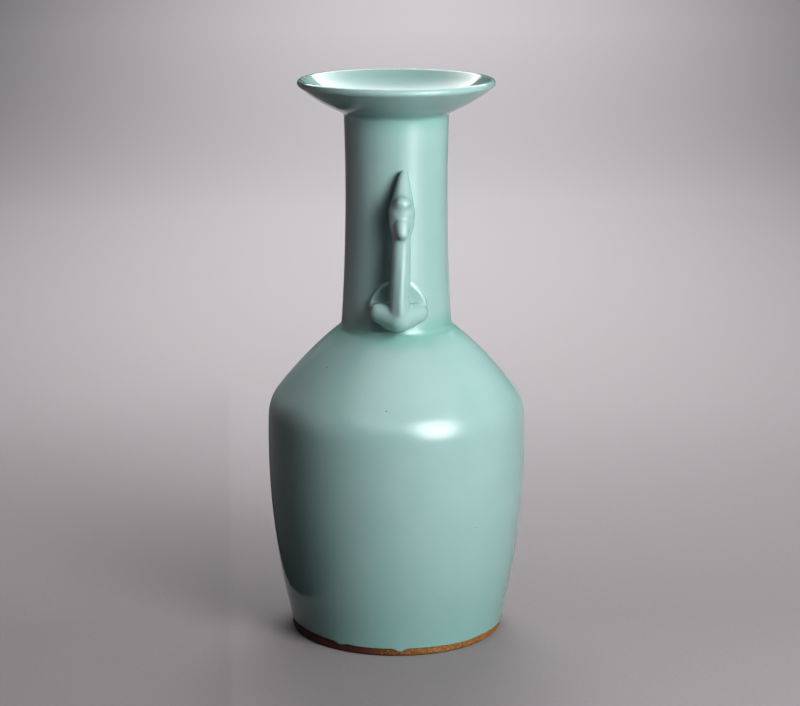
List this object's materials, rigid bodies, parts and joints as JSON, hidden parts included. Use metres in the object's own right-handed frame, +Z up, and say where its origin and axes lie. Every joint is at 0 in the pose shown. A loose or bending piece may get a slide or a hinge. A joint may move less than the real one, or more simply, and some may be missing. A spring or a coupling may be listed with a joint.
{
  "type": "mallet vase",
  "caption": "Mallet-shaped celadon vase with a sloping shoulder, tall neck, dish mouth and bird-shaped neck handles, glazed over a bare brown foot ring, for flowers or display.",
  "frame": {"origin": "centre of the foot ring's lower face, on the surface that the vase stands on", "axes": "+Z up along the vase's axis, -Y out of the front handle, +Y out of the back handle, +X to the right of the front"},
  "size_m": [0.1298, 0.1298, 0.28],
  "materials": {
    "celadon_glaze": "glossy pale blue-green celadon glaze",
    "stoneware": "bare fired stoneware, burnt brown",
    "slip": "fired slip, matt"
  },
  "bodies": {
    "root": {"lower_drum": "stoneware", "upper_drum": "stoneware", "shoulder": "stoneware", "neck": "stoneware", "dish_mouth": "stoneware", "drum_seam": "slip", "shoulder_seam": "slip", "neck_seam": "slip", "mouth_seam": "slip", "front_handle_left_half": "stoneware", "front_handle_right_half": "stoneware", "front_handle_head_slip": "slip", "front_handle_wing_slip": "slip", "front_handle_glaze": "celadon_glaze", "back_handle_left_half": "stoneware", "back_handle_right_half": "stoneware", "back_handle_head_slip": "slip", "back_handle_wing_slip": "slip", "back_handle_glaze": "celadon_glaze", "outer_glaze": "celadon_glaze", "inner_glaze": "celadon_glaze", "base_glaze": "celadon_glaze"}
  },
  "joints": []
}
